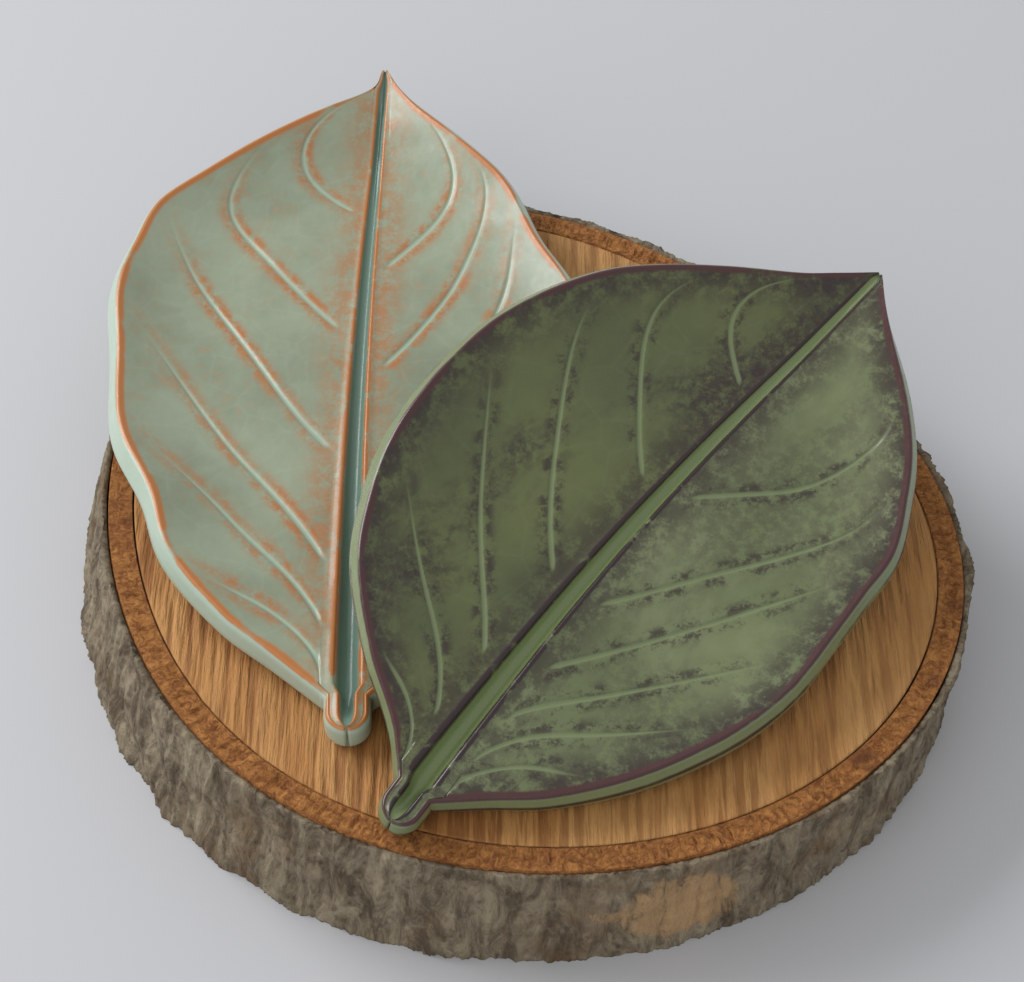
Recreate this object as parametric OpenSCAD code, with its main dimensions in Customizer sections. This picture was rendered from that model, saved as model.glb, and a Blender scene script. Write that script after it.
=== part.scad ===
// Two slab-built ceramic leaf dishes for rings, one leaning on the other, on a slice of a log.
// Millimetres, +Z up. The origin lies in the plane of the underside, below the middle of the sawn top.

/* [Log slice] */
// Thickness of the slice
slice_thick = 20; // [14:1:30]
// Mean radius of the sawn top face, bark included
slice_radius = 72; // [66:1:84]
// How far the log is from round along its long way
slice_oval = 5; // [0:0.5:8]
// How far the log bulges at one end of its long way
slice_egg = 2; // [0:0.5:4]
// Thickness of the fibrous inner bark
inner_bark_thick = 4; // [2:0.5:7]
// Thickness of the outer bark at the top face
outer_bark_thick = 1.4; // [1:0.2:3]
// How much the outer bark thickens down to the underside
bark_foot = 2; // [0:0.5:4]
// Height of the ribs and plates on the outer bark
bark_relief = 0.5; // [0:0.1:0.8]
// Sideways shift of the underside, because the log leans through the cut
log_lean = 3.6; // [0:0.2:6]
// Width of the shrinkage cracks between the layers
crack_width = 0.3; // [0.2:0.1:0.6]

/* [Clay slab] */
// Thickness of the clay slab of the rear dish
rear_slab = 5.2; // [4:0.2:7]
// Thickness of the clay slab of the front dish
front_slab = 5.6; // [4:0.2:7]
// Width of the band along the rim that curls up
curl_band = 20; // [14:1:26]
// Length from the stem over which the curl grows to its full height
curl_run = 44; // [30:1:60]
// Half width of the midrib channel at the stem
channel_half = 2; // [1.4:0.1:2.6]
// Half width of the midrib channel at the tip
channel_half_tip = 0.7; // [0.5:0.1:1.2]
// Depth of the midrib channel at the stem
channel_depth = 2.4; // [1:0.1:3]
// Height of the lips beside the midrib channel
lip_height = 0.35; // [0:0.05:0.6]
// Depth of the side veins
vein_depth = 0.5; // [0.2:0.05:0.9]
// Radius of the round stem end
stem_radius = 2.9; // [2.4:0.1:4]
// Length of the narrow stem before the blade widens
stem_len = 6; // [5:0.5:10]
// Half width of the blunt tip
tip_half = 0.4; // [0.3:0.1:1]

/* [Rear dish] */
// Length of the rear dish
rear_len = 148; // [130:1:165]
// Widest reach of its left half from the midrib
rear_left = 40.5; // [34:0.5:46]
// Widest reach of its right half from the midrib
rear_right = 37.8; // [32:0.1:43]
// Height that its rim curls up
rear_curl = 4.6; // [2:0.2:7]
// Height of the waves along its rim
rear_wave = 0.4; // [0:0.1:1.2]
// Sideways bow of its midrib
rear_bow = 1.6; // [0:0.1:4]
// Sideways place of its stem on the slice
rear_stem_x = -26.2; // [-32:0.1:-20]
// Place of its stem from the slice's middle to the front
rear_stem_y = -47.7; // [-52:0.1:-42]
// Direction of its midrib from the slice's long side
rear_heading = 89.6; // [84:0.2:94]

/* [Front dish] */
// Length of the front dish
front_len = 126; // [112:1:140]
// Widest reach of its left half from the midrib
front_left = 37.5; // [32:0.5:43]
// Widest reach of its right half from the midrib
front_right = 33.7; // [29:0.1:39]
// Height that its rim curls up
front_curl = 4.2; // [2:0.2:7]
// Height of the waves along its rim
front_wave = 0; // [0:0.1:1.2]
// Sideways bow of its midrib
front_bow = 3; // [0:0.1:5]
// Sideways place of its stem on the slice
front_stem_x = -19.5; // [-24:0.1:-15]
// Place of its stem from the slice's middle to the front
front_stem_y = -63.2; // [-66:0.1:-58]
// Direction of its midrib from the slice's long side
front_heading = 51.6; // [46:0.2:58]
// Direction from its midrib of the line it tips about when it leans on the rear dish
lean_line = -24; // [-32:1:-16]

/* [Seats] */
// Clearance that each dish keeps from what it rests on
seat_gap = 0.3; // [0.2:0.05:0.5]

/* [Hidden] */

// Slice outline: directions of the oval and of the bulge, and of the lean
OVAL_DIR = -47;
EGG_DIR = -11;
LEAN_DIR = -170;
STEPS = 90;
BARK_LEVELS = [0, 0.1, 0.32, 0.56, 0.8, 1];

// Leaf outlines: places along the blade, and the share of the half width at each of them
EDGE_AT = [0, 0.05, 0.1, 0.18, 0.26, 0.34, 0.42, 0.5, 0.58, 0.66, 0.74, 0.8, 0.86, 0.92, 0.96, 1];
REAR_LEFT_EDGE = [0, 0.2, 0.41, 0.63, 0.73, 0.87, 0.93, 0.98, 1, 0.99, 0.92, 0.72, 0.5, 0.23, 0.04, 0];
REAR_RIGHT_EDGE = [0, 0.21, 0.41, 0.63, 0.79, 0.91, 0.98, 1, 0.92, 0.8, 0.68, 0.56, 0.38, 0.17, 0.07, 0];
FRONT_LEFT_EDGE = [0, 0.16, 0.4, 0.68, 0.83, 0.93, 0.98, 1, 0.99, 0.93, 0.82, 0.67, 0.47, 0.24, 0.12, 0];
FRONT_RIGHT_EDGE = [0, 0.2, 0.41, 0.65, 0.82, 0.94, 1, 1, 0.99, 0.97, 0.84, 0.71, 0.52, 0.28, 0.13, 0];

// Side veins: where each leaves the midrib, as a share of the sweep rows
REAR_LEFT_VEINS = [0.08, 0.19, 0.34, 0.57, 0.75, 0.88];
REAR_RIGHT_VEINS = [0.09, 0.22, 0.37, 0.55, 0.7, 0.82];
FRONT_LEFT_VEINS = [0.06, 0.18, 0.35, 0.56, 0.74, 0.87];
FRONT_RIGHT_VEINS = [0.08, 0.16, 0.27, 0.42, 0.57, 0.75];

// Cut edge of the slab, from the top arris down: [outward, downward] as shares of the slab
REAR_RIM = [[0.1, 0.06], [0.15, 0.22], [0.15, 0.76], [0.09, 0.93], [-0.06, 1]];
FRONT_RIM = [[0.08, 0.06], [0.09, 0.26], [0.15, 0.5], [0.05, 0.8], [-0.12, 1]];

// Vein sweep: share of even spacing at the midrib's ends, its power, and the veins' bend
SWEEP_EVEN = 0.5;
SWEEP_POWER = 3.7;
VEIN_BEND = 1.13;
VEIN_HALF = 0.008;

// Columns across a half blade: in channel half widths, then as shares of the rest
CHANNEL_AT = [0.5, 0.85, 1.15, 1.6, 2.2];
CHANNEL_CUT = [0.84, 0.36, 0, 0, 0];
CHANNEL_LIP = [0, 0, 1, 0.6, 0];
BLADE_AT = [0.12, 0.28, 0.45, 0.62, 0.76, 0.88, 0.95, 1];
UNDER_AT = [0.9, 0.75, 0.5, 0.25];
STEM_ARC = [22, 42, 64, 90];
NECK_ROWS = 3;
VEIN_ROWS = 3;

// Step for slopes along the edge, and how the cut edge eases off towards the tip
EDGE_STEP = 0.5;
TIP_SHARE = 0.35;
TIP_RUN = 14;

// Search for the tilt of the front dish
MOST_LEAN = 32;
LEAN_STEPS = 11;

// One leaf's own sizes, in the order that the functions below read them
REAR = [rear_len, rear_slab, rear_curl, rear_wave, rear_bow, REAR_RIM,
    [rear_left, REAR_LEFT_EDGE, REAR_LEFT_VEINS], [rear_right, REAR_RIGHT_EDGE, REAR_RIGHT_VEINS]];
FRONT = [front_len, front_slab, front_curl, front_wave, front_bow, FRONT_RIM,
    [front_left, FRONT_LEFT_EDGE, FRONT_LEFT_VEINS], [front_right, FRONT_RIGHT_EDGE, FRONT_RIGHT_VEINS]];
LEFT = 6;
RIGHT = 7;

function leaf_len(leaf) = leaf[0];
function slab(leaf) = leaf[1];
function curl(leaf) = leaf[2];
function wave(leaf) = leaf[3];
function bow(leaf) = leaf[4];
function rim(leaf) = leaf[5];
function side_sign(side) = side == LEFT ? 1 : -1;
function clamp01(x) = max(0, min(1, x));
function smooth(x) = clamp01(x) * clamp01(x) * (3 - 2 * clamp01(x));
function mix(a, b, t) = a + (b - a) * t;

// A smooth curve through the shares of an edge, with the slope at each place set by its neighbours
function edge_slope_at(shares, i) =
    let (a = max(0, i - 1), b = min(len(shares) - 1, i + 1))
    (shares[b] - shares[a]) / (EDGE_AT[b] - EDGE_AT[a]);
function edge_share(shares, x) =
    let (
        i = max([for (k = [0 : len(shares) - 2]) if (x >= EDGE_AT[k]) k]),
        w = EDGE_AT[i + 1] - EDGE_AT[i],
        t = (x - EDGE_AT[i]) / w
    )
    shares[i] * (1 + 2 * t) * pow(1 - t, 2) + shares[i + 1] * t * t * (3 - 2 * t)
    + w * t * (1 - t) * (edge_slope_at(shares, i) * (1 - t) - edge_slope_at(shares, i + 1) * t);

// Leaf outline in plan: the stem's round end, its neck, then the blade
function blade_share(leaf, u) = clamp01((u - stem_len) / (leaf_len(leaf) - stem_len));
function half_width(leaf, side, u) =
    u < stem_radius ? sqrt(max(0, pow(stem_radius, 2) - pow(stem_radius - u, 2)))
    : let (b = blade_share(leaf, u))
      mix(stem_radius, tip_half, smooth(b)) + leaf[side][0] * edge_share(leaf[side][1], b)
      + wave(leaf) * smooth(2 * b) * smooth(4 * (1 - b)) * sin(u * 13);
function midrib_y(leaf, u) = bow(leaf) * sin(180 * u / leaf_len(leaf));
function channel_w(leaf, side, u) =
    min(mix(channel_half, channel_half_tip, u / leaf_len(leaf)), half_width(leaf, side, u) * 0.4);

// Height of the curled rim above the flat middle, at a distance in from the edge
function edge_slope(leaf, side, u) =
    let (a = max(stem_radius, u - EDGE_STEP), b = min(leaf_len(leaf), max(u, stem_radius) + EDGE_STEP))
    (half_width(leaf, side, b) - half_width(leaf, side, a)) / (b - a);
function slant(leaf, side, u) = sqrt(1 + pow(edge_slope(leaf, side, u), 2));
function curl_at(leaf, u) =
    smooth(u / curl_run) * (curl(leaf) + wave(leaf) * sin(u * 9));
function lift(leaf, side, u, inward) =
    curl_at(leaf, u) * pow(clamp01(1 - inward / (curl_band * slant(leaf, side, u))), 2);
function tip_ease(leaf, u) = mix(TIP_SHARE, 1, smooth((leaf_len(leaf) - u) / TIP_RUN));
function edge_angle(leaf, u) = atan(2 * curl_at(leaf, u) / curl_band) * tip_ease(leaf, u);

// Rows: each runs from the midrib out and forward to the edge, as the side veins do
function sweep(x) = SWEEP_EVEN * x + (1 - SWEEP_EVEN) * pow(x, SWEEP_POWER);
function row_mid(leaf, s) = stem_len + (leaf_len(leaf) - stem_len) * sweep(s);
function row_edge(leaf, s) = stem_len + (leaf_len(leaf) - stem_len) * (1 - sweep(1 - s));
function row_u(leaf, row, f) =
    row[0] == "stem" ? row[1] : mix(row_mid(leaf, row[1]), row_edge(leaf, row[1]), pow(f, VEIN_BEND));
function vein_rows(veins) = [for (i = [0 : len(veins)])
    let (
        low = i == 0 ? 0 : veins[i - 1] + VEIN_HALF,
        high = i == len(veins) ? 1 : veins[i] - VEIN_HALF,
        n = i == 0 ? NECK_ROWS : VEIN_ROWS
    )
    each concat(
        [for (k = [i == 0 ? 0 : 1 : n - 1]) ["plain", mix(low, high, k / n)]],
        i == len(veins) ? [["plain", 1]]
        : [["plain", high], ["vein", veins[i]], ["plain", veins[i] + VEIN_HALF]]
    )];
function rows(leaf, side) = concat(
    [for (a = STEM_ARC) ["stem", stem_radius * (1 - cos(a))]],
    [["stem", (stem_radius + stem_len) / 2]],
    vein_rows(leaf[side][2]));

// Heights of the upper face
function channel_cut(leaf, u) =
    mix(channel_depth, 0.3, pow(u / leaf_len(leaf), 0.8)) * smooth(u / stem_len);
function vein_cut(row, f) = row[0] == "vein" ? vein_depth * smooth(6 * f) * smooth(2.4 * (1 - f)) : 0;

function top_channel(leaf, side, row, k) =
    let (
        u = row_u(leaf, row, 0),
        y = CHANNEL_AT[k] * channel_w(leaf, side, u),
        h = lift(leaf, side, u, half_width(leaf, side, u) - y)
    )
    [u, midrib_y(leaf, u) + side_sign(side) * y,
     slab(leaf) + h - CHANNEL_CUT[k] * channel_cut(leaf, u)
     + CHANNEL_LIP[k] * lip_height * smooth(1.2 - u / leaf_len(leaf))];
function top_blade(leaf, side, row, f) =
    let (
        u = row_u(leaf, row, f),
        w = half_width(leaf, side, u),
        y = mix(CHANNEL_AT[4] * channel_w(leaf, side, u), w, f)
    )
    [u, midrib_y(leaf, u) + side_sign(side) * y,
     slab(leaf) + lift(leaf, side, u, w - y) - vein_cut(row, f)];

// Outward direction of the edge in plan, then the slab's cut edge, square to the curled slab
function outward(leaf, side, u) =
    u < stem_radius ? [(u - stem_radius) / stem_radius, side_sign(side) * half_width(leaf, side, u) / stem_radius]
    : u > leaf_len(leaf) - EDGE_STEP ? [0, side_sign(side)]
    : [-edge_slope(leaf, side, u), side_sign(side)] / slant(leaf, side, u);
function rim_point(leaf, side, row, k) =
    let (
        top = top_blade(leaf, side, row, 1),
        n = outward(leaf, side, top[0]),
        a = edge_angle(leaf, top[0]),
        out = rim(leaf)[k][0] * slab(leaf) * tip_ease(leaf, top[0]),
        down = rim(leaf)[k][1] * slab(leaf),
        reach = out * cos(a) + down * sin(a)
    )
    [top[0] + n[0] * reach, top[1] + n[1] * reach, top[2] + out * sin(a) - down * cos(a)];

// The underside follows the curl, a slab's thickness below
function under_width(leaf, side, u) =
    half_width(leaf, side, u) + slab(leaf) * (sin(edge_angle(leaf, u)) + rim(leaf)[4][0] * tip_ease(leaf, u));
function under_z(leaf, side, u, y) = lift(leaf, side, u, under_width(leaf, side, u) - y);
function under_point(leaf, side, row, f) =
    let (u = row_u(leaf, row, f), y = f * under_width(leaf, side, u))
    [u, midrib_y(leaf, u) + side_sign(side) * y, under_z(leaf, side, u, y)];

// Half of a row's loop, from beside the midrib over the rim and back under to it
function half_loop(leaf, side, row) = concat(
    [for (k = [0 : len(CHANNEL_AT) - 1]) top_channel(leaf, side, row, k)],
    [for (f = BLADE_AT) top_blade(leaf, side, row, f)],
    [for (k = [0 : len(rim(leaf)) - 1]) rim_point(leaf, side, row, k)],
    [for (f = UNDER_AT) under_point(leaf, side, row, f)]);
function reversed(list) = [for (i = [len(list) - 1 : -1 : 0]) list[i]];
function loop_at(leaf, row_l, row_r) =
    let (
        l = half_loop(leaf, LEFT, row_l),
        r = half_loop(leaf, RIGHT, row_r),
        u = (l[0][0] + r[0][0]) / 2,
        w = min(half_width(leaf, LEFT, u), half_width(leaf, RIGHT, u)),
        rise = lift(leaf, LEFT, u, w)
    )
    concat(
        [[u, midrib_y(leaf, u), slab(leaf) + rise - channel_cut(leaf, u)]], r,
        [[u, midrib_y(leaf, u), rise]], reversed(l));
function loops(leaf) =
    let (l = rows(leaf, LEFT), r = rows(leaf, RIGHT))
    [for (i = [0 : len(l) - 1]) loop_at(leaf, l[i], r[i])];

function average(points) = [for (k = [0 : 2]) let (c = [for (p = points) p[k]]) c * [for (p = points) 1] / len(c)];
module loft(rings) {
    n = len(rings);
    m = len(rings[0]);
    points = concat([for (r = rings) each r], [average(rings[0])], [average(rings[n - 1])]);
    sides = [for (i = [0 : n - 2]) for (j = [0 : m - 1]) let (k = (j + 1) % m)
        each [[i * m + j, (i + 1) * m + k, i * m + k], [i * m + j, (i + 1) * m + j, (i + 1) * m + k]]];
    first = [for (j = [0 : m - 1]) [n * m, j, (j + 1) % m]];
    last = [for (j = [0 : m - 1]) [n * m + 1, (n - 1) * m + (j + 1) % m, (n - 1) * m + j]];
    polyhedron(points, concat(sides, first, last));
}

// Where the dishes lie: a turn about Z, and for the front dish a tilt about the lean line
function turn_z(p, a) = [p[0] * cos(a) - p[1] * sin(a), p[0] * sin(a) + p[1] * cos(a), p[2]];
function tip_x(p, a) = [p[0], p[1] * cos(a) - p[2] * sin(a), p[1] * sin(a) + p[2] * cos(a)];
function tilted(p, a) = turn_z(tip_x(turn_z(p, -lean_line), a), front_heading + lean_line);
function untilted(p, a) = turn_z(tip_x(turn_z(p, -front_heading - lean_line), -a), lean_line);

SLICE_TOP = slice_thick;
REAR_AT = [rear_stem_x, rear_stem_y, SLICE_TOP + seat_gap];
FRONT_XY = [front_stem_x, front_stem_y, 0];
REAR_LOOPS = loops(REAR);
FRONT_LOOPS = loops(FRONT);
REAR_POINTS = [for (r = REAR_LOOPS) for (p = r) turn_z(p, rear_heading) + REAR_AT];
FRONT_POINTS = [for (r = FRONT_LOOPS) for (p = r) if (p[2] < curl(FRONT) + 1) p];

// The front dish sinks until its lowest point is on the slice
function front_z(a) = SLICE_TOP + seat_gap - min([for (p = FRONT_POINTS) tilted(p, a)[2]]);
// Room between the front dish's underside and the rear dish's points below it
function room_over(p, a, z) =
    let (
        q = untilted(p - FRONT_XY - [0, 0, z], a),
        y = q[1] - midrib_y(FRONT, q[0]),
        side = y > 0 ? LEFT : RIGHT,
        inside = q[0] > 0 && q[0] < leaf_len(FRONT)
    )
    !inside ? curl_band
    : abs(y) > under_width(FRONT, side, q[0]) ? curl_band
    : under_z(FRONT, side, q[0], abs(y)) - q[2];
function room(a) = let (z = front_z(a)) min([for (p = REAR_POINTS) room_over(p, a, z)]);
// Halving steps find the least tilt that leaves the clearance
function lean(low, high, n) =
    n == 0 ? high
    : let (a = (low + high) / 2)
      room(a) < seat_gap ? lean(a, high, n - 1) : lean(low, a, n - 1);
LEAN = room(0) >= seat_gap ? 0 : lean(0, MOST_LEAN, LEAN_STEPS);
FRONT_AT = FRONT_XY + [0, 0, front_z(LEAN)];

// Log outline: radius by angle, then a ring of points at a share of the height
function log_radius(a) = slice_radius + slice_oval * cos(2 * (a - OVAL_DIR)) + slice_egg * cos(3 * (a - EGG_DIR));
function log_ring(inset, share, relief) = [for (i = [0 : STEPS - 1])
    let (
        a = 360 * i / STEPS,
        r = log_radius(a) - inset + relief * bark_ripple(a, share),
        slip = log_lean * (1 - share)
    )
    [r * cos(a) + slip * cos(LEAN_DIR), r * sin(a) + slip * sin(LEAN_DIR), slice_thick * share]];
// Ribs that run up the log, broken into plates by a slower wave
function bark_ripple(a, share) =
    0.6 * sin(17 * a + 50 * sin(3 * a) + 60 * share)
    + 0.4 * sin(29 * a - 90 * share) * cos(200 * share + 5 * a)
    - 0.5 * pow(share, 8);
function core_inset() = outer_bark_thick + inner_bark_thick + 2 * crack_width;
function bark_inset() = outer_bark_thick + crack_width;

// A closed band: rings listed from the outer bottom edge, up the outside and down the inside
module band(rings) {
    n = len(rings);
    m = len(rings[0]);
    faces = [for (i = [0 : n - 1]) for (j = [0 : m - 1])
        let (k = (j + 1) % m, a = i * m, b = ((i + 1) % n) * m)
        each [[a + j, b + j, b + k], [a + j, b + k, a + k]]];
    polyhedron([for (r = rings) each r], faces);
}

module wood_core() {
    color([0.76, 0.56, 0.33]) loft([log_ring(core_inset(), 0, 0), log_ring(core_inset(), 1, 0)]);
}

module inner_bark() {
    color([0.7, 0.38, 0.16]) band([
        log_ring(bark_inset(), 0, 0), log_ring(bark_inset(), 1, 0),
        log_ring(bark_inset() + inner_bark_thick, 1, 0), log_ring(bark_inset() + inner_bark_thick, 0, 0)]);
}

module outer_bark() {
    color([0.42, 0.38, 0.31]) band(concat(
        [for (s = BARK_LEVELS) log_ring(-bark_foot * (1 - s), s, bark_relief)],
        [log_ring(outer_bark_thick, 1, 0), log_ring(outer_bark_thick, 0, 0)]));
}

module rear_leaf_dish() {
    color([0.6, 0.66, 0.58]) translate(REAR_AT) rotate([0, 0, rear_heading]) loft(REAR_LOOPS);
}

module front_leaf_dish() {
    color([0.36, 0.4, 0.26]) translate(FRONT_AT) rotate([0, 0, front_heading + lean_line])
        rotate([LEAN, 0, 0]) rotate([0, 0, -lean_line]) loft(FRONT_LOOPS);
}

wood_core();
inner_bark();
outer_bark();
rear_leaf_dish();
front_leaf_dish();
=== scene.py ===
"""Two glazed leaf dishes on a log slice: the finish of every surface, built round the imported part."""

import math

import bpy
import numpy as np
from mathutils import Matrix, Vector


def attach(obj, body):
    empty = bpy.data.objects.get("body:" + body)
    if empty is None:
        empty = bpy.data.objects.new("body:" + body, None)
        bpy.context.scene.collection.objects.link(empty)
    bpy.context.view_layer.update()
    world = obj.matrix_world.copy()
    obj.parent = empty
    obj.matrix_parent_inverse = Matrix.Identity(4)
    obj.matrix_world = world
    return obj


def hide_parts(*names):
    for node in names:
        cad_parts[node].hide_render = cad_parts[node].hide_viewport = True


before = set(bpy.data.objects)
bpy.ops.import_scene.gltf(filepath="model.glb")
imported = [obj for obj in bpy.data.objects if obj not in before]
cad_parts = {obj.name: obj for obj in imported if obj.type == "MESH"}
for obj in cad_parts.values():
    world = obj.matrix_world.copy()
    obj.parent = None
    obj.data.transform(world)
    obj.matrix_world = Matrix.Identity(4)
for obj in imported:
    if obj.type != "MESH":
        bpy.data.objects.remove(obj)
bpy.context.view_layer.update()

MM = 0.001

# Shape of both leaves, in millimetres, as in the part's source
CURL_BAND = 20
CURL_RUN = 44
CHANNEL_HALF = 2
CHANNEL_HALF_TIP = 0.7
CHANNEL_MOST = 0.4
CHANNEL_DEPTH = 2.4
CHANNEL_DEPTH_TIP = 0.3
CHANNEL_FADE = 0.8
LIP_HEIGHT = 0.35
LIP_END = 1.2
STEM_RADIUS = 2.9
STEM_LEN = 6
TIP_HALF = 0.4
TIP_SHARE = 0.35
TIP_RUN = 14
SWEEP_EVEN = 0.5
SWEEP_POWER = 3.7
VEIN_BEND = 1.13
EDGE_STEP = 0.5

# The wave of the outline and of the curl, in degrees for each millimetre along the leaf
OUTLINE_WAVE = 13
CURL_WAVE = 9
WAVE_START = 2
WAVE_END = 4

# Places along the blade at which each side's shares of its half width are given
EDGE_AT = [0, 0.05, 0.1, 0.18, 0.26, 0.34, 0.42, 0.5, 0.58, 0.66, 0.74, 0.8, 0.86, 0.92, 0.96, 1]

# Each leaf: its sizes, its rim profile in slab thicknesses, and for the left and the right side
# the reach in millimetres, the shares of it along the blade, and the places of the side veins
REAR = {
    "len": 148, "slab": 5.2, "curl": 4.6, "wave": 0.4, "bow": 1.6,
    "rim": [[0.1, 0.06], [0.15, 0.22], [0.15, 0.76], [0.09, 0.93], [-0.06, 1]],
    "sides": [
        (40.5, [0, 0.2, 0.41, 0.63, 0.73, 0.87, 0.93, 0.98, 1, 0.99, 0.92, 0.72, 0.5, 0.23, 0.04, 0],
         [0.08, 0.19, 0.34, 0.57, 0.75, 0.88]),
        (37.8, [0, 0.21, 0.41, 0.63, 0.79, 0.91, 0.98, 1, 0.92, 0.8, 0.68, 0.56, 0.38, 0.17, 0.07, 0],
         [0.09, 0.22, 0.37, 0.55, 0.7, 0.82]),
    ],
}
FRONT = {
    "len": 126, "slab": 5.6, "curl": 4.2, "wave": 0, "bow": 3,
    "rim": [[0.08, 0.06], [0.09, 0.26], [0.15, 0.5], [0.05, 0.8], [-0.12, 1]],
    "sides": [
        (37.5, [0, 0.16, 0.4, 0.68, 0.83, 0.93, 0.98, 1, 0.99, 0.93, 0.82, 0.67, 0.47, 0.24, 0.12, 0],
         [0.06, 0.18, 0.35, 0.56, 0.74, 0.87]),
        (33.7, [0, 0.2, 0.41, 0.65, 0.82, 0.94, 1, 1, 0.99, 0.97, 0.84, 0.71, 0.52, 0.28, 0.13, 0],
         [0.08, 0.16, 0.27, 0.42, 0.57, 0.75]),
    ],
}

# Where the leaves lie: stem ends in millimetres, headings and the front leaf's lean in degrees
REAR_AT = (-26.2, -47.7, 20.3)
REAR_HEADING = 89.6
FRONT_AT = (-19.5, -63.2, 20.64)
FRONT_HEADING = 51.6
LEAN_LINE = -24
FRONT_LEAN = 15.14

# Rows and columns of the fine leaf mesh
STEM_TURN_ROWS = 18
STEM_SIDE_ROWS = 10
BLADE_ROWS = 380
BLADE_COLS = 96
COLS_TO_RIM = 1.4
CHANNEL_COLS = 18
RIM_COLS = 16
RIM_EASINGS = 2
UNDER_COLS = 16

# Cross section of the midrib channel, by distance in channel half widths
CHANNEL_END = 2.2
CHANNEL_AT = [0, 0.3, 0.5, 0.7, 0.85, 1.0, 1.15, 1.35, 1.6, 1.9, 2.2]
CHANNEL_CUT = [1, 0.96, 0.84, 0.62, 0.36, 0.12, 0, 0, 0, 0, 0]
CHANNEL_LIP = [0, 0, 0, 0.1, 0.4, 0.85, 1, 0.9, 0.6, 0.2, 0]
POOL_AT = [0, 0.7, 1.0]
POOL_SHARE = [1, 0.9, 0]
LIP_AT = 1.2
LIP_SPREAD = 0.32
LIP_SPILL = 0.2
LIP_SPILL_RATE = 30

# Side veins, in millimetres; the glaze fills the solid's deeper grooves to this depth
VEIN_DEPTH = 0.24
VEIN_WIDE = 0.62
VEIN_NARROW = 0.3
VEIN_START = 14
VEIN_FADE = 2.2
VEIN_CUT_FADE = 3
VEIN_WANDER = 0.35
VEIN_WANDER_TURNS = 9
FLANK_AT = 1.1
FLANK_SPREAD = 1.0

# Slow unevenness of the clay, and how far the glaze masks reach from rim and midrib, in millimetres
CLAY_SWELL = 0.12
CLAY_SWELL_SIZE = 22
CLAY_SWELL_FADE = 4
NEAR_MID = 4.0
RIM_LINE = 0.9
NEAR_RIM = 5.0

# Where the masks lie on the cut edge, in shares of its height
RIM_LINE_SHARE = 0.1
CUT_START = 8
RIDGE_AT = 0.5
RIDGE_SPREAD = 0.1

# Random waves in soft_noise and ring_noise
SOFT_WAVES = 9
RING_WAVES = 10
PHASES = 6.28


def clamp01(x):
    return np.clip(x, 0, 1)


def smooth(x):
    x = clamp01(x)
    return x * x * (3 - 2 * x)


def mix(a, b, t):
    return a + (b - a) * t


def bell(x, spread):
    """One at zero, falling away on both sides."""
    return np.exp(-(x / spread) ** 2)


def edge_share(shares, x):
    """The share of the half width at place x of the blade, on a smooth curve through the given ones."""
    at, y = np.array(EDGE_AT, float), np.array(shares, float)
    low = np.maximum(np.arange(len(at)) - 1, 0)
    high = np.minimum(np.arange(len(at)) + 1, len(at) - 1)
    slope = (y[high] - y[low]) / (at[high] - at[low])
    i = np.clip(np.searchsorted(at, x, side="right") - 1, 0, len(at) - 2)
    w = at[i + 1] - at[i]
    t = (x - at[i]) / w
    ends = y[i] * (1 + 2 * t) * (1 - t) ** 2 + y[i + 1] * t * t * (3 - 2 * t)
    return ends + w * t * (1 - t) * (slope[i] * (1 - t) - slope[i + 1] * t)


def half_width(leaf, side, u):
    """Distance from the midrib to the edge, u millimetres from the stem end."""
    reach, shares, _ = leaf["sides"][side]
    b = clamp01((u - STEM_LEN) / (leaf["len"] - STEM_LEN))
    wide = mix(STEM_RADIUS, TIP_HALF, smooth(b)) + reach * edge_share(shares, b)
    wave = smooth(WAVE_START * b) * smooth(WAVE_END * (1 - b)) * np.sin(np.radians(OUTLINE_WAVE * u))
    stem = np.sqrt(np.maximum(0, STEM_RADIUS ** 2 - (STEM_RADIUS - u) ** 2))
    return np.where(u < STEM_RADIUS, stem, wide + leaf["wave"] * wave)


def midrib_y(leaf, u):
    return leaf["bow"] * np.sin(math.pi * u / leaf["len"])


def channel_w(leaf, side, u):
    wide = mix(CHANNEL_HALF, CHANNEL_HALF_TIP, u / leaf["len"])
    return np.minimum(wide, half_width(leaf, side, u) * CHANNEL_MOST)


def channel_cut(leaf, u):
    """Depth of the channel's bed along the leaf."""
    fade = (u / leaf["len"]) ** CHANNEL_FADE
    return mix(CHANNEL_DEPTH, CHANNEL_DEPTH_TIP, fade) * smooth(u / STEM_LEN)


def edge_slope(leaf, side, u):
    a = np.maximum(STEM_RADIUS, u - EDGE_STEP)
    b = np.minimum(leaf["len"], np.maximum(u, STEM_RADIUS) + EDGE_STEP)
    return (half_width(leaf, side, b) - half_width(leaf, side, a)) / (b - a)


def curl_at(leaf, u):
    wave = leaf["wave"] * np.sin(np.radians(CURL_WAVE * u))
    return smooth(u / CURL_RUN) * (leaf["curl"] + wave)


def lift(leaf, side, u, inward):
    """How far the curl lifts the slab at a distance inward from the edge."""
    slant = np.sqrt(1 + edge_slope(leaf, side, u) ** 2)
    return curl_at(leaf, u) * clamp01(1 - inward / (CURL_BAND * slant)) ** 2


def tip_ease(leaf, u):
    return mix(TIP_SHARE, 1, smooth((leaf["len"] - u) / TIP_RUN))


def edge_angle(leaf, u):
    return np.arctan(2 * curl_at(leaf, u) / CURL_BAND) * tip_ease(leaf, u)


def sweep(x):
    return SWEEP_EVEN * x + (1 - SWEEP_EVEN) * x ** SWEEP_POWER


def row_mid(leaf, s):
    return STEM_LEN + (leaf["len"] - STEM_LEN) * sweep(s)


def row_edge(leaf, s):
    return STEM_LEN + (leaf["len"] - STEM_LEN) * (1 - sweep(1 - s))


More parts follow.
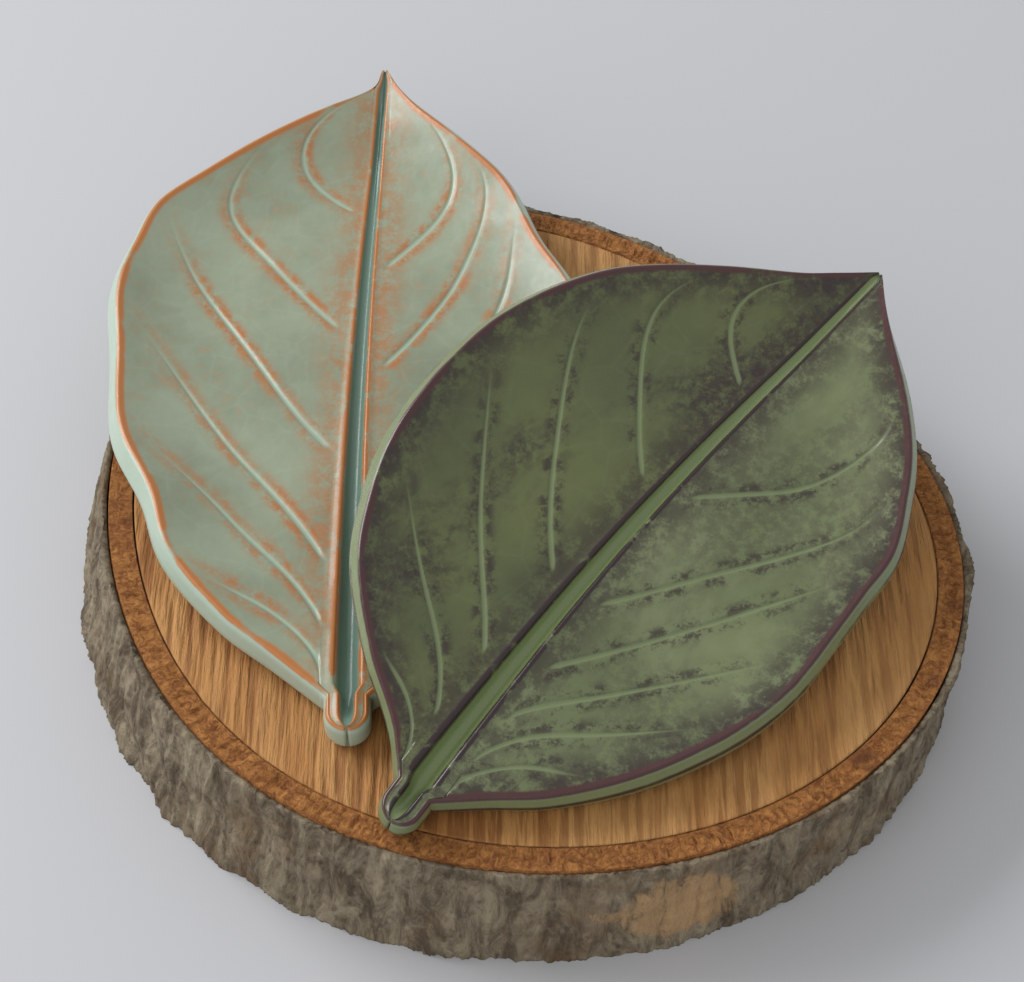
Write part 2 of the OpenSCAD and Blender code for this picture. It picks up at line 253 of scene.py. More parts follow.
def soft_noise(u, v, scale, seed):
    """Smooth noise over a plane, from a few turned waves."""
    wave = np.random.default_rng(seed)
    total = np.zeros_like(u)
    for _ in range(SOFT_WAVES):
        a = wave.uniform(0, 2 * math.pi)
        f = wave.uniform(0.6, 1.6) / scale
        along = u * math.cos(a) + v * math.sin(a)
        total += np.sin(2 * math.pi * f * along + wave.uniform(0, PHASES))
    return total / SOFT_WAVES


def leaf_rows(leaf):
    """Where each row meets the midrib and the edge, and its place among the veins (-1 on the stem)."""
    turn = np.linspace(0, math.pi / 2, STEM_TURN_ROWS)[1:]
    straight = np.linspace(STEM_RADIUS, STEM_LEN, STEM_SIDE_ROWS)[1:-1]
    stem = np.concatenate([STEM_RADIUS * (1 - np.cos(turn)), straight])
    s = np.linspace(0, 1, BLADE_ROWS)
    mid = np.concatenate([stem, row_mid(leaf, s)])
    edge = np.concatenate([stem, row_edge(leaf, s)])
    return mid, edge, np.concatenate([np.full(len(stem), -1.0), s])


def channel_part(leaf, side, mid):
    """Half of the midrib channel with its lip."""
    c = np.linspace(0, CHANNEL_END, CHANNEL_COLS + 1)[1:]
    u = np.repeat(mid[:, None], len(c), 1)
    y = c[None, :] * channel_w(leaf, side, u)
    lip = LIP_HEIGHT * smooth(LIP_END - u / leaf["len"])
    z = leaf["slab"] + lift(leaf, side, u, half_width(leaf, side, u) - y)
    z = z - np.interp(c, CHANNEL_AT, CHANNEL_CUT)[None, :] * channel_cut(leaf, u)
    z = z + np.interp(c, CHANNEL_AT, CHANNEL_LIP)[None, :] * lip
    pool = np.interp(c, POOL_AT, POOL_SHARE)[None, :]
    return np.stack([u, y, z], -1), pool, bell(c - LIP_AT, LIP_SPREAD)[None, :]


def vein_masks(leaf, side, u, y, f, s):
    """The grooves of the side veins and the flanks beside them, each from 0 to 1."""
    flat = np.stack([u, y], -1)
    along = np.gradient(flat, axis=0)
    across = np.gradient(flat, axis=1)
    area = np.abs(along[..., 0] * across[..., 1] - along[..., 1] * across[..., 0])
    step = area / (np.linalg.norm(across, axis=-1) + 1e-9) * (BLADE_ROWS - 1)
    on = (s[:, None] >= 0) * smooth(VEIN_START * f)[None, :] * smooth(VEIN_FADE * (1 - f))[None, :] ** 0.5
    width = mix(VEIN_WIDE, VEIN_NARROW, f)[None, :]
    groove = np.zeros_like(u)
    flank = np.zeros_like(u)
    for k, at in enumerate(leaf["sides"][side][2]):
        wander = VEIN_WANDER * np.sin(VEIN_WANDER_TURNS * f + 2 * k)[None, :]
        off = (s[:, None] - at) * step + wander
        groove = np.maximum(groove, bell(off, width) * on)
        flank = np.maximum(flank, bell(np.abs(off) - FLANK_AT, FLANK_SPREAD) * on)
    return groove, flank


def rim_profile(leaf):
    """The cut edge's profile in slab thicknesses, evenly divided and eased."""
    knots = np.array([[0, 0]] + leaf["rim"], float)
    far = np.concatenate([[0], np.cumsum(np.linalg.norm(np.diff(knots, axis=0), axis=1))])
    t = np.linspace(0, far[-1], RIM_COLS + 1)[1:]
    profile = np.stack([np.interp(t, far, knots[:, 0]), np.interp(t, far, knots[:, 1])], -1)
    for _ in range(RIM_EASINGS):
        profile[:-1] = (np.vstack([[0, 0], profile[:-2]]) + 2 * profile[:-1] + profile[1:]) / 4
    return profile


def outward(leaf, side, u):
    """The direction out from the edge, round the stem end and sideways at the tip."""
    slope = edge_slope(leaf, side, u)
    norm = np.sqrt(1 + slope ** 2)
    out_u = np.where(u < STEM_RADIUS, (u - STEM_RADIUS) / STEM_RADIUS, -slope / norm)
    out_y = np.where(u < STEM_RADIUS, half_width(leaf, side, u) / STEM_RADIUS, 1 / norm)
    at_tip = u > leaf["len"] - EDGE_STEP
    return np.where(at_tip, 0, out_u), np.where(at_tip, 1, out_y)


def rim_part(leaf, side, top, profile):
    """The cut edge, from the blade's last column down to the underside."""
    u = top[:, 0]
    out_u, out_y = outward(leaf, side, u)
    a = edge_angle(leaf, u)
    out = profile[None, :, 0] * leaf["slab"] * tip_ease(leaf, u)[:, None]
    down = np.repeat(profile[None, :, 1] * leaf["slab"], len(u), 0)
    reach = out * np.cos(a)[:, None] + down * np.sin(a)[:, None]
    drop = out * np.sin(a)[:, None] - down * np.cos(a)[:, None]
    return np.stack([u[:, None] + out_u[:, None] * reach, top[:, 1][:, None] + out_y[:, None] * reach,
                     top[:, 2][:, None] + drop], -1)


def under_part(leaf, side, mid, edge):
    """Half of the underside, from the edge back to the midrib."""
    g = np.linspace(1, 0, UNDER_COLS + 1)[1:-1]
    u = mid[:, None] + (edge - mid)[:, None] * g[None, :] ** VEIN_BEND
    tuck = np.sin(edge_angle(leaf, u)) + leaf["rim"][-1][0] * tip_ease(leaf, u)
    wide = half_width(leaf, side, u) + leaf["slab"] * tuck
    y = g[None, :] * wide
    return np.stack([u, y, lift(leaf, side, u, wide - y)], -1)


def half_grid(leaf, side, seed):
    """Points and masks of one half of a leaf, from beside the midrib over the rim and back under."""
    sign = 1 if side == 0 else -1
    mid, edge, s = leaf_rows(leaf)
    channel, pool, lips = channel_part(leaf, side, mid)

    f = 1 - (1 - np.linspace(0, 1, BLADE_COLS + 1)[1:]) ** COLS_TO_RIM
    u = mid[:, None] + (edge - mid)[:, None] * f[None, :] ** VEIN_BEND
    w = half_width(leaf, side, u)
    start = CHANNEL_END * channel_w(leaf, side, u)
    y = mix(start, w, f[None, :])
    groove, flank = vein_masks(leaf, side, u, y, f, s)
    swell = CLAY_SWELL * soft_noise(u, sign * y, CLAY_SWELL_SIZE, seed)
    z = leaf["slab"] + lift(leaf, side, u, w - y)
    z = z - VEIN_DEPTH * groove * smooth(VEIN_CUT_FADE * (1 - f))[None, :]
    z = z + swell * smooth(CLAY_SWELL_FADE * (1 - f))[None, :]
    blade = np.stack([u, y, z], -1)
    from_edge = (w - y) / np.sqrt(1 + edge_slope(leaf, side, u) ** 2)

    profile = rim_profile(leaf)
    rim = rim_part(leaf, side, blade[:, -1], profile)
    down = profile[None, :, 1]
    points = np.concatenate([channel, blade, rim, under_part(leaf, side, mid, edge)], 1)
    points[..., 1] = midrib_y(leaf, points[..., 0]) + sign * points[..., 1]

    def spread(*parts):
        """One mask from its values on the channel, the blade, the rim and the underside."""
        sizes = [CHANNEL_COLS, BLADE_COLS, RIM_COLS, UNDER_COLS - 1]
        return np.concatenate([np.broadcast_to(p, (len(mid), k)) for p, k in zip(parts, sizes)], 1)

    masks = {
        "pool": spread(pool, 0, 0, 0),
        "lip": spread(lips, np.exp(-(f[None, :] * LIP_SPILL_RATE) ** 2) * LIP_SPILL, 0, 0),
        "groove": spread(0, groove, 0, 0),
        "flank": spread(0, flank, 0, 0),
        "rim": spread(0, bell(from_edge, RIM_LINE), bell(down, RIM_LINE_SHARE), 0),
        "near_rim": spread(0, bell(from_edge, NEAR_RIM), 1, 0),
        "near_mid": spread(1, bell(y - start, NEAR_MID), 0, 0),
        "cut": spread(0, 0, smooth(down * CUT_START), 1),
        "ridge": spread(0, 0, bell(down - RIDGE_AT, RIDGE_SPREAD), 0),
        "right": spread(side, side, side, side),
    }
    return points, masks


def add_mesh(name, points, faces):
    """A new object of the given points, in millimetres, and faces."""
    mesh = bpy.data.meshes.new(name)
    mesh.from_pydata((points * MM).tolist(), [], faces)
    made = bpy.data.objects.new(name, mesh)
    bpy.context.scene.collection.objects.link(made)
    return made


def leaf_mesh(name, leaf, place, seed):
    """A closed mesh of a leaf, each row a loop round the slab, with its masks as attributes."""
    left, left_masks = half_grid(leaf, 0, seed)
    right, right_masks = half_grid(leaf, 1, seed)
    u = (left[:, 0, 0] + right[:, 0, 0]) / 2
    narrow = np.minimum(half_width(leaf, 0, u), half_width(leaf, 1, u))
    rise = lift(leaf, 0, u, narrow)
    top = np.stack([u, midrib_y(leaf, u), leaf["slab"] + rise - channel_cut(leaf, u)], -1)
    bottom = np.stack([u, midrib_y(leaf, u), rise], -1)
    ring = np.concatenate([top[:, None], right, bottom[:, None], left[:, ::-1]], 1)
    rows, cols = ring.shape[:2]
    ends = np.stack([ring[0].mean(0), ring[-1].mean(0)])
    points = np.concatenate([ring.reshape(-1, 3), ends])

    i, j = np.meshgrid(np.arange(rows - 1), np.arange(cols), indexing="ij")
    k = (j + 1) % cols
    corners = [i * cols + j, (i + 1) * cols + j, (i + 1) * cols + k, i * cols + k]
    quads = np.stack(corners, -1).reshape(-1, 4)
    j = np.arange(cols)
    k = (j + 1) % cols
    end_row = (rows - 1) * cols
    first = np.stack([np.full(cols, rows * cols), j, k], -1)
    last = np.stack([np.full(cols, rows * cols + 1), end_row + k, end_row + j], -1)
    made = add_mesh(name, place(points), quads.tolist() + first.tolist() + last.tolist())

    for key in left_masks:
        middle = 1.0 if key == "pool" else 0.0
        row = np.concatenate([np.full((rows, 1), middle), right_masks[key], np.zeros((rows, 1)),
                              left_masks[key][:, ::-1]], 1)
        values = np.concatenate([row.ravel(), [0, 0]]).astype(np.float32)
        made.data.attributes.new(key, "FLOAT", "POINT").data.foreach_set("value", values)
    flat_place = (points * MM).astype(np.float32).ravel()
    made.data.attributes.new("leaf_place", "FLOAT_VECTOR", "POINT").data.foreach_set("vector", flat_place)
    made.data.shade_smooth()
    made.data.validate()
    return made


def turn_z(p, degrees):
    a = math.radians(degrees)
    x = p[:, 0] * math.cos(a) - p[:, 1] * math.sin(a)
    y = p[:, 0] * math.sin(a) + p[:, 1] * math.cos(a)
    return np.stack([x, y, p[:, 2]], -1)


def tip_x(p, degrees):
    a = math.radians(degrees)
    y = p[:, 1] * math.cos(a) - p[:, 2] * math.sin(a)
    z = p[:, 1] * math.sin(a) + p[:, 2] * math.cos(a)
    return np.stack([p[:, 0], y, z], -1)


def place_rear(p):
    return turn_z(p, REAR_HEADING) + np.array(REAR_AT)


def place_front(p):
    leaned = tip_x(turn_z(p, -LEAN_LINE), FRONT_LEAN)
    return turn_z(leaned, FRONT_HEADING + LEAN_LINE) + np.array(FRONT_AT)


class Tree:
    """A short way to add shader nodes to a new material."""

    def __init__(self, name):
        self.material = bpy.data.materials.new(name)
        self.material.use_nodes = True
        self.tree = self.material.node_tree
        self.shader = self.tree.nodes["Principled BSDF"]

    def put(self, value, socket):
        """Link an output to the socket, or set the socket to a plain value."""
        if isinstance(value, bpy.types.NodeSocket):
            self.tree.links.new(value, socket)
        elif isinstance(value, tuple) and len(value) == 3 and socket.type == "RGBA":
            socket.default_value = (*value, 1)
        else:
            socket.default_value = value

    def attribute(self, name, output="Fac"):
        node = self.tree.nodes.new("ShaderNodeAttribute")
        node.attribute_name = name
        return node.outputs[output]

    def object_place(self):
        return self.tree.nodes.new("ShaderNodeTexCoord").outputs["Object"]

    def noise(self, place, scale, detail, rough=0.6, distortion=0.0):
        node = self.tree.nodes.new("ShaderNodeTexNoise")
        for key, value in (("Vector", place), ("Scale", scale), ("Detail", detail), ("Roughness", rough),
                           ("Distortion", distortion)):
            self.put(value, node.inputs[key])
        return node.outputs["Fac"]

    def voronoi(self, place, scale, feature="F1"):
        node = self.tree.nodes.new("ShaderNodeTexVoronoi")
        node.feature = feature
        self.put(place, node.inputs["Vector"])
        self.put(scale, node.inputs["Scale"])
        return node.outputs["Distance"]

    def distance(self, place, point):
        node = self.tree.nodes.new("ShaderNodeVectorMath")
        node.operation = "DISTANCE"
        self.put(place, node.inputs[0])
        node.inputs[1].default_value = point
        return node.outputs["Value"]

    def stretch(self, place, scale):
        node = self.tree.nodes.new("ShaderNodeMapping")
        self.put(place, node.inputs["Vector"])
        node.inputs["Scale"].default_value = scale
        return node.outputs["Vector"]

    def math(self, operation, a, b):
        node = self.tree.nodes.new("ShaderNodeMath")
        node.operation = operation
        self.put(a, node.inputs[0])
        self.put(b, node.inputs[1])
        return node.outputs[0]

    def times(self, a, b):
        return self.math("MULTIPLY", a, b)

    def span(self, value, low, high, to_low=0.0, to_high=1.0):
        """A smooth step of the value between low and high."""
        node = self.tree.nodes.new("ShaderNodeMapRange")
        node.interpolation_type = "SMOOTHSTEP"
        for k, v in enumerate((value, low, high, to_low, to_high)):
            self.put(v, node.inputs[k])
        return node.outputs["Result"]

    def blend(self, share, a, b):
        """Colour a, and b in its place by the share."""
        node = self.tree.nodes.new("ShaderNodeMix")
        node.data_type = "RGBA"
        self.put(share, node.inputs["Factor"])
        first, second = [socket for socket in node.inputs if socket.type == "RGBA"]
        self.put(a, first)
        self.put(b, second)
        return [socket for socket in node.outputs if socket.type == "RGBA"][0]

    def bump(self, height, distance, strength):
        node = self.tree.nodes.new("ShaderNodeBump")
        self.put(height, node.inputs["Height"])
        node.inputs["Distance"].default_value = distance
        node.inputs["Strength"].default_value = strength
        return node.outputs["Normal"]

    def set(self, **values):
        """Set the shader's own sockets, with _ for the spaces in their names."""
        for key, value in values.items():
            self.put(value, self.shader.inputs[key.replace("_", " ")])


def rgb(r, g, b):
    """A colour given as it looks on screen, 0 to 255."""
    def linear(c):
        c = c / 255
        return c / 12.92 if c <= 0.04045 else ((c + 0.055) / 1.055) ** 2.4
    return (linear(r), linear(g), linear(b))


# Celadon glaze, and where it breaks to rust
SAGE = rgb(152, 162, 138)
SAGE_DEEP = rgb(132, 143, 120)
SAGE_NET = rgb(172, 190, 168)
SAGE_VEIN = rgb(158, 182, 160)
SAGE_CUT = rgb(176, 194, 176)
TEAL_POOL = rgb(104, 132, 118)
BLUSH = rgb(176, 140, 104)
RUST = rgb(178, 110, 52)
RUST_RIM = rgb(184, 116, 58)
IRON_SPOT = rgb(120, 78, 44)

# Green glaze, and where it breaks to plum
MOSS = rgb(96, 104, 60)
MOSS_DEEP = rgb(78, 86, 52)
# Painted sheen: lighter greens for the right half of the green leaf, standing in for the reflection of
# the bright room on its glaze
MOSS_PAINTED_SHEEN = rgb(128, 136, 98)
MOSS_PAINTED_SHEEN_DEEP = rgb(104, 114, 76)
MOSS_NET = rgb(120, 136, 96)
MOSS_VEIN = rgb(120, 134, 92)
# Pooled glaze in the green leaf's channel, its colour partly its own and partly lightened as painted
# light to offset the channel's shade
MOSS_POOL_PAINTED_LIGHT = rgb(124, 140, 92)
MOSS_CUT = rgb(124, 136, 98)
PLUM = rgb(44, 24, 27)
PLUM_RIM = rgb(74, 38, 38)

# Wood and bark
WOOD = rgb(206, 152, 90)
WOOD_DEEP = rgb(182, 124, 64)
WOOD_GRAIN = rgb(150, 104, 58)
WOOD_LINE = rgb(142, 88, 40)
WOOD_CLOUD = rgb(196, 150, 92)
FIBRE_DARK = rgb(140, 78, 32)
FIBRE_LIGHT = rgb(216, 148, 78)
FIBRE_CLOUD = rgb(112, 60, 34)
BARK_DARK = rgb(92, 78, 60)
BARK_LIGHT = rgb(160, 146, 122)
BARK_CLOUD = rgb(118, 92, 64)
BARK_PIT = rgb(52, 42, 34)
CORK = rgb(180, 146, 106)
TABLE = rgb(198, 199, 202)

# The pale patch of cork on the bark: its place in metres, its stretch along x, and its ragged edge
CORK_PLACE = (0.025, -0.071, 0.01)
CORK_STRETCH = 0.6
CORK_RAGGED = 0.012
CORK_INSIDE = 0.0115
CORK_OUTSIDE = 0.0135


def glaze_bump(t, place, speck):
    height = t.math("ADD", t.noise(place, scale=120, detail=3), t.times(speck, 0.08))
    return t.bump(height, distance=0.0006, strength=0.35)


def celadon_glaze():
    t = Tree("celadon_glaze")
    place = t.attribute("leaf_place", "Vector")
    cloud = t.noise(place, scale=45, detail=5, rough=0.6)
    speck = t.noise(place, scale=420, detail=4, rough=0.75)
    colour = t.blend(t.span(cloud, 0.35, 0.7), SAGE, SAGE_DEEP)

    net = t.span(t.voronoi(place, 130, "DISTANCE_TO_EDGE"), 0.0, 0.05, 1.0, 0.0)
    colour = t.blend(t.times(net, 0.08), colour, SAGE_NET)
    blush = t.span(t.noise(place, scale=90, detail=5, rough=0.7), 0.5, 0.68)
    blush = t.times(blush, t.span(speck, 0.45, 0.6))
    colour = t.blend(t.times(blush, 0.5), colour, BLUSH)

    breaking = t.math("MAXIMUM", t.attribute("flank"), t.times(t.attribute("near_mid"), 0.8))
    breaking = t.times(breaking, t.span(t.noise(place, scale=330, detail=6, rough=0.85), 0.38, 0.58))
    breaking = t.times(breaking, t.span(t.noise(place, scale=38, detail=3), 0.32, 0.55, 0.4, 1.0))
    colour = t.blend(t.times(breaking, 0.95), colour, RUST)
    colour = t.blend(t.span(t.attribute("groove"), 0.35, 0.9, 0, 0.9), colour, SAGE_VEIN)
    colour = t.blend(t.span(t.attribute("pool"), 0.1, 0.8), colour, TEAL_POOL)

    lip_break = t.span(t.noise(place, scale=160, detail=4, rough=0.7), 0.3, 0.55)
    colour = t.blend(t.span(t.times(t.attribute("lip"), lip_break), 0.15, 0.6), colour, RUST)
    colour = t.blend(t.span(t.attribute("cut"), 0.1, 0.9), colour, SAGE_CUT)
    rim_break = t.span(t.noise(place, scale=90, detail=3), 0.3, 0.55, 0.35, 1.0)
    colour = t.blend(t.span(t.times(t.attribute("rim"), rim_break), 0.2, 0.7), colour, RUST_RIM)
    spots = t.span(t.voronoi(place, 60), 0.035, 0.05, 1.0, 0.0)
    colour = t.blend(t.times(spots, 0.7), colour, IRON_SPOT)

    t.set(Base_Color=colour, Roughness=t.span(speck, 0.3, 0.7, 0.28, 0.42), Coat_Weight=0.25,
          Coat_Roughness=0.12, Normal=glaze_bump(t, place, speck))
    return t.material


def olive_glaze():
    t = Tree("olive_glaze")
    place = t.attribute("leaf_place", "Vector")
    cloud = t.noise(place, scale=38, detail=5, rough=0.6)
    speck = t.noise(place, scale=520, detail=4, rough=0.8)
    left = t.blend(t.span(cloud, 0.35, 0.7), MOSS, MOSS_DEEP)
    # Painted sheen: the right half takes the lighter greens, a reflection of the bright room painted into
    # the colour
    right = t.blend(t.span(cloud, 0.3, 0.7), MOSS_PAINTED_SHEEN, MOSS_PAINTED_SHEEN_DEEP)
    colour = t.blend(t.attribute("right"), left, right)

    patch = t.noise(t.stretch(place, (0.6, 1.0, 1.0)), scale=32, detail=6, rough=0.65, distortion=0.6)
    patch = t.times(t.span(patch, 0.46, 0.64), t.span(t.attribute("right"), 0.0, 1.0, 1.0, 0.45))
    patch = t.times(patch, t.span(speck, 0.34, 0.6))
    colour = t.blend(t.times(patch, 0.85), colour, PLUM)
    flank_break = t.span(t.noise(place, scale=300, detail=5, rough=0.8), 0.47, 0.6)
    colour = t.blend(t.times(t.times(t.attribute("flank"), flank_break), 0.8), colour, PLUM)
    band = t.math("MAXIMUM", t.attribute("near_rim"), t.times(t.attribute("near_mid"), 0.75))
    band = t.times(band, t.span(t.noise(place, scale=240, detail=5, rough=0.8), 0.36, 0.56))
    colour = t.blend(t.times(band, 0.9), colour, PLUM)

    net = t.span(t.voronoi(place, 110, "DISTANCE_TO_EDGE"), 0.0, 0.04, 1.0, 0.0)
    colour = t.blend(t.times(net, 0.07), colour, MOSS_NET)
    colour = t.blend(t.span(t.attribute("groove"), 0.35, 0.9, 0, 0.8), colour, MOSS_VEIN)
    # The channel's bed: pooled glaze colour, lightened as painted light against the shade in the channel
    colour = t.blend(t.span(t.attribute("pool"), 0.1, 0.8), colour, MOSS_POOL_PAINTED_LIGHT)
    lip_break = t.span(t.noise(place, scale=200, detail=4, rough=0.7), 0.3, 0.5)
    colour = t.blend(t.span(t.times(t.attribute("lip"), lip_break), 0.15, 0.6), colour, PLUM)

    colour = t.blend(t.span(t.attribute("cut"), 0.1, 0.9), colour, MOSS_CUT)
    ridge = t.times(t.attribute("ridge"), t.span(t.noise(place, scale=60, detail=4), 0.3, 0.6))
    colour = t.blend(t.span(ridge, 0.2, 0.8, 0, 0.9), colour, PLUM)
    rim_break = t.span(t.noise(place, scale=70, detail=4), 0.3, 0.55, 0.3, 1.0)
    colour = t.blend(t.span(t.times(t.attribute("rim"), rim_break), 0.2, 0.7), colour, PLUM_RIM)

    t.set(Base_Color=colour, Roughness=t.span(speck, 0.3, 0.7, 0.24, 0.4), Coat_Weight=0.4,
          Coat_Roughness=0.08, Normal=glaze_bump(t, place, speck))
    return t.material


# Log slice, in millimetres and degrees: its radius by angle, as in the part's source
SLICE_TOP = 20
SLICE_RADIUS = 72
SLICE_OVAL = 5
SLICE_EGG = 2
OVAL_DIR = -47
EGG_DIR = -11
LEAN_DIR = -170
LOG_LEAN = 3.6
INNER_BARK = 4
OUTER_BARK = 1.4
BARK_FOOT = 2
CRACK = 0.3

# Points round the log, levels of the bark's wall, and rings over the inner bark and the wood
AROUND = 1440
BARK_LEVELS = 70
INNER_RINGS = 22
WOOD_RINGS = 150
BELOW_RINGS = 6

# Heights of the bark's forms, in millimetres
RIB_HEIGHT = 0.55
PLATE_HEIGHT = 1.1
FINE_HEIGHT = 0.35
BARK_INWARD = 0.4
RIB_TURN = 0.2
RIB_SLANT = 0.02
TOP_RAGGED = 0.25
TOP_CHAMFER = 0.3

# Heights of the inner bark's fibres
FIBRE_HEIGHT = 0.55
CLUMP_HEIGHT = 0.4
FIBRE_RISE = 0.1

# Saw ridges across the wood: height and spacing of the coarse and the fine ones, and their drift
SAW_HEIGHT = 0.10
SAW_PITCH = 1.9
SAW_SLANT = 0.05
SAW_BEND = 0.8
SAW_BEND_RUN = 31
FINE_SAW_HEIGHT = 0.05
FINE_SAW_PITCH = 0.83
FINE_SAW_SLANT = 0.03
WOOD_SWELL = 0.08
WOOD_SWELL_SIZE = 14
WOOD_SWELL_SEED = 31
WOOD_EDGE_RATE = 30
WOOD_SIDE_LEVELS = [[0.0], [10.0], [19.6]]


def log_radius(a):
    oval = SLICE_OVAL * np.cos(2 * (a - math.radians(OVAL_DIR)))
    return SLICE_RADIUS + oval + SLICE_EGG * np.cos(3 * (a - math.radians(EGG_DIR)))


def ring_noise(a, z, count, seed):
    """Smooth noise round the log from whole waves, so that it closes on itself."""
    wave = np.random.default_rng(seed)
    total = np.zeros(np.broadcast(a, z).shape)
    for _ in range(RING_WAVES):
        k = int(wave.integers(count // 2, count * 2))
        total = total + np.sin(k * a + wave.uniform(-0.25, 0.25) * z + wave.uniform(0, PHASES))
    return total / RING_WAVES


def log_point(a, inset, z, extra=0.0):
    """Points of the leaning log at angle a and height z, an inset in from its bark."""
    slip = LOG_LEAN * (1 - z / SLICE_TOP)
    r = log_radius(a) - inset + extra
    lean = math.radians(LEAN_DIR)
    x, y = r * np.cos(a) + slip * math.cos(lean), r * np.sin(a) + slip * math.sin(lean)
    return np.stack(np.broadcast_arrays(x, y, z), -1)


def grid_mesh(name, grid, closed=False):
    """A mesh from rings of points round the log; closed joins the last ring to the first."""
    rows, cols = grid.shape[:2]
    i, j = np.meshgrid(np.arange(rows if closed else rows - 1), np.arange(cols), indexing="ij")
    k, m = (j + 1) % cols, (i + 1) % rows
    quads = np.stack([i * cols + j, i * cols + k, m * cols + k, m * cols + j], -1).reshape(-1, 4)
    made = add_mesh(name, grid.reshape(-1, 3), quads.tolist())
    made.data.shade_smooth()
    return made


def around():
    return np.linspace(0, 2 * math.pi, AROUND, endpoint=False)[None, :]


def bark_depth(a, z):
    """Furrows and ribs of the outer bark, in millimetres out from its CAD surface."""
    turned = RIB_TURN * np.sin(5 * a) + RIB_SLANT * z
    ribs = ring_noise(a + RIB_SLANT * turned, z, count=90, seed=11)
    plates = ring_noise(a, 3 * z, count=22, seed=12)
    fine = ring_noise(a, 14 * z, count=300, seed=13)
    return RIB_HEIGHT * ribs + PLATE_HEIGHT * plates + FINE_HEIGHT * fine - BARK_INWARD


def outer_bark_mesh():
    a = around()
    levels = np.linspace(0, SLICE_TOP, BARK_LEVELS)[:, None]
    inset = -BARK_FOOT * (1 - levels / SLICE_TOP)
    wall = log_point(a, inset, levels, bark_depth(a, levels))
    top = SLICE_TOP + TOP_RAGGED * ring_noise(a, 0, count=200, seed=14)
    lip = log_point(a, OUTER_BARK * 0.5, top)
    inner = log_point(a, OUTER_BARK, top - TOP_CHAMFER)
    base = log_point(a, OUTER_BARK, np.zeros_like(a))
    return grid_mesh("outer_bark_skin", np.concatenate([wall, lip, inner, base], 0), closed=True)


def inner_bark_mesh():
    a = around()
    outside = OUTER_BARK + CRACK
    inside = outside + INNER_BARK
    span = np.linspace(0, 1, INNER_RINGS)[:, None]
    rough = FIBRE_HEIGHT * ring_noise(a, 30 * span, count=420, seed=21)
    rough = rough + CLUMP_HEIGHT * ring_noise(a, 9 * span, count=120, seed=22)
    height = SLICE_TOP + FIBRE_RISE + rough * np.sin(math.pi * span) ** 0.5
    top = log_point(a, outside + (inside - outside) * span, height)
    base = [log_point(a, inset, np.zeros_like(a)) for inset in (inside, outside)]
    return grid_mesh("inner_bark_ring", np.concatenate([top, *base], 0), closed=True)


def wood_core_mesh():
    a = around()
    inset = OUTER_BARK + INNER_BARK + 2 * CRACK
    span = np.linspace(1, 0, WOOD_RINGS)[:, None]
    top = log_point(a, inset, np.full_like(a, SLICE_TOP)) * span[..., None]
    top[..., 2] = SLICE_TOP
    x, y = top[..., 0], top[..., 1]
    drift = SAW_SLANT * y + SAW_BEND * np.sin(y / SAW_BEND_RUN)
    relief = SAW_HEIGHT * np.sin(2 * math.pi * (x + drift) / SAW_PITCH)
    relief = relief + FINE_SAW_HEIGHT * np.sin(2 * math.pi * (x + FINE_SAW_SLANT * y) / FINE_SAW_PITCH)
    relief = relief + WOOD_SWELL * soft_noise(x, y, WOOD_SWELL_SIZE, WOOD_SWELL_SEED)
    top[..., 2] += relief * clamp01((1 - span) * WOOD_EDGE_RATE)
    side = log_point(a, inset, np.array(WOOD_SIDE_LEVELS))
    middle = log_point(a, inset, np.zeros_like(a)).mean(1, keepdims=True)
    below = middle + (side[:1] - middle) * np.linspace(0, 1, BELOW_RINGS)[:-1, None, None]
    return grid_mesh("wood_core_disc", np.concatenate([below, side, top], 0))


def sawn_wood():
    t = Tree("sawn_wood")
    place = t.object_place()
    grain = t.noise(t.stretch(place, (1.0, 0.12, 1.0)), scale=900, detail=5, rough=0.7)
    wide = t.noise(t.stretch(place, (1.0, 0.1, 1.0)), scale=140, detail=4, rough=0.6)
    lines = t.noise(t.stretch(place, (1.0, 0.05, 1.0)), scale=620, detail=3, rough=0.6)
    cloud = t.noise(place, scale=22, detail=4, rough=0.5)
    colour = t.blend(t.span(wide, 0.35, 0.65), WOOD, WOOD_DEEP)
    colour = t.blend(t.span(grain, 0.45, 0.7, 0, 0.6), colour, WOOD_GRAIN)
    colour = t.blend(t.span(lines, 0.47, 0.58, 0, 0.75), colour, WOOD_LINE)
    colour = t.blend(t.span(cloud, 0.5, 0.75, 0, 0.5), colour, WOOD_CLOUD)
    height = t.math("SUBTRACT", grain, t.times(lines, 1.6))
    t.set(Base_Color=colour, Roughness=0.72, Normal=t.bump(height, distance=0.001, strength=0.8))
    return t.material


def fibrous_bark():
    t = Tree("inner_bark")
    place = t.object_place()
    fibre = t.noise(place, scale=700, detail=6, rough=0.8, distortion=1.2)
    cloud = t.noise(place, scale=90, detail=4, rough=0.6)
    colour = t.blend(t.span(fibre, 0.35, 0.65), FIBRE_DARK, FIBRE_LIGHT)
    colour = t.blend(t.span(cloud, 0.55, 0.75, 0, 0.6), colour, FIBRE_CLOUD)
    t.set(Base_Color=colour, Roughness=0.85, Normal=t.bump(fibre, distance=0.0012, strength=0.9))
    return t.material


